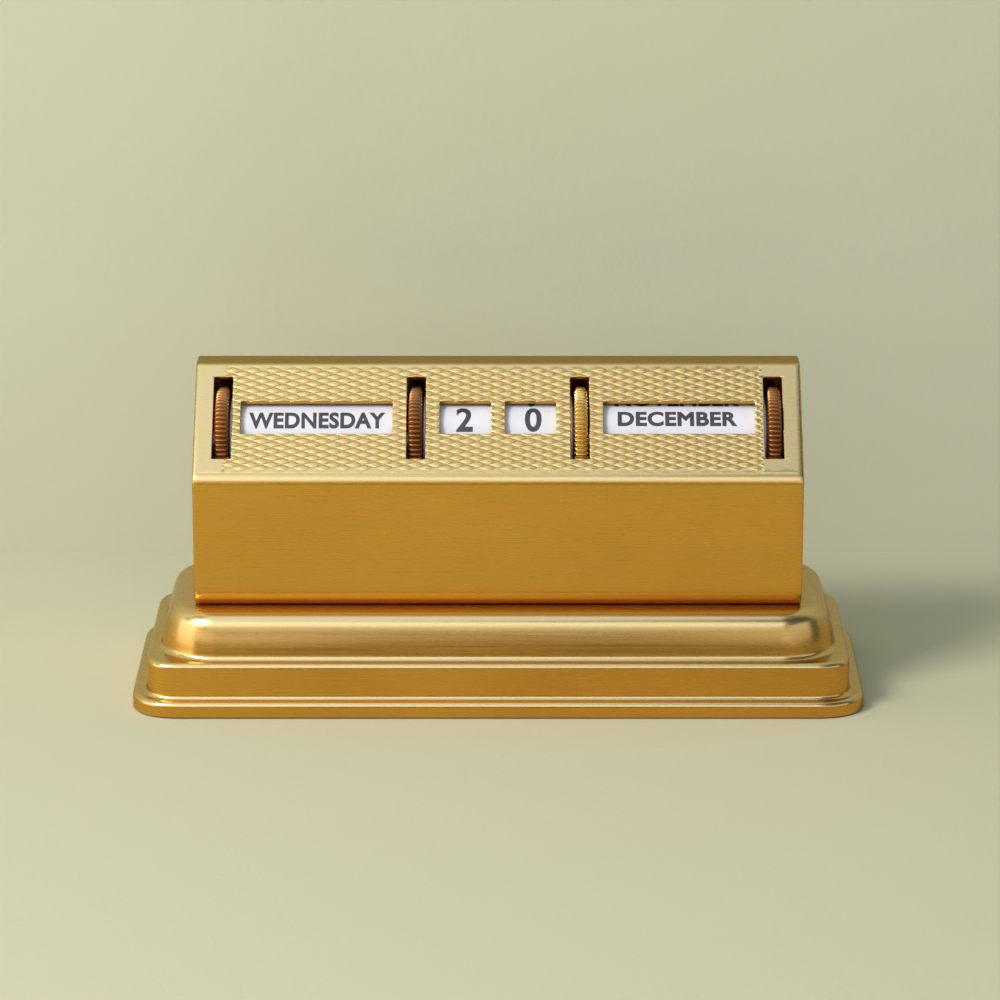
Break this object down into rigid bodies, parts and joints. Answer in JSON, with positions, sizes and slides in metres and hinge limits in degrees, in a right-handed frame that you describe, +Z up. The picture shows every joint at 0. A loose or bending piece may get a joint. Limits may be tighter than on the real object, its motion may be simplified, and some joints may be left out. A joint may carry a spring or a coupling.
{
  "type": "perpetual desk calendar",
  "caption": "Brass desk calendar: a stepped base carries a folded housing whose sloping dial shows weekday, day digits and month on drums turned by knurled thumb wheels.",
  "frame": {"origin": "centre of the footprint, on the surface that the felt pad rests on", "axes": "+Z up, the dial faces -Y, +X runs from the weekday end to the month end, along the axle"},
  "size_m": [0.146, 0.0546, 0.0647],
  "materials": {
    "satin_brass": "satin brushed",
    "wheel_brass": "knurled",
    "screw_brass": "polished",
    "plated_steel": "zinc plated",
    "drum_plastic": "moulded",
    "label_paper": "printed paper film",
    "felt": "wool felt"
  },
  "bodies": {
    "case": {"base_shell": "satin_brass", "base_plate": "plated_steel", "felt_pad": "felt", "base_posts": "plated_steel", "plate_screws": "plated_steel", "housing_shell": "satin_brass", "end_plate_left": "satin_brass", "end_plate_right": "satin_brass", "housing_nuts": "plated_steel", "axle_shaft": "plated_steel", "axle_screw_left": "screw_brass", "axle_screw_right": "screw_brass", "axle_spacer_left": "plated_steel", "axle_spacer_right": "plated_steel", "thrust_washers": "plated_steel", "spring_washer": "plated_steel"},
    "weekday": {"weekday_wheel": "wheel_brass", "weekday_drum": "drum_plastic", "weekday_label": "label_paper"},
    "tens": {"tens_wheel": "wheel_brass", "tens_drum": "drum_plastic", "tens_label": "label_paper"},
    "units": {"units_wheel": "wheel_brass", "units_drum": "drum_plastic", "units_label": "label_paper"},
    "month": {"month_wheel": "wheel_brass", "month_drum": "drum_plastic", "month_label": "label_paper"}
  },
  "joints": [
    {"name": "weekday_spin", "type": "hinge", "parent": "case", "child": "weekday", "pos_m": [-0.03608, 0.00192, 0.04839], "axis": [1, 0, 0], "continuous": true},
    {"name": "tens_spin", "type": "hinge", "parent": "case", "child": "tens", "pos_m": [-0.00775, 0.00192, 0.04839], "axis": [1, 0, 0], "continuous": true},
    {"name": "units_spin", "type": "hinge", "parent": "case", "child": "units", "pos_m": [0.00775, 0.00192, 0.04839], "axis": [1, 0, 0], "continuous": true},
    {"name": "month_spin", "type": "hinge", "parent": "case", "child": "month", "pos_m": [0.03608, 0.00192, 0.04839], "axis": [1, 0, 0], "continuous": true}
  ]
}
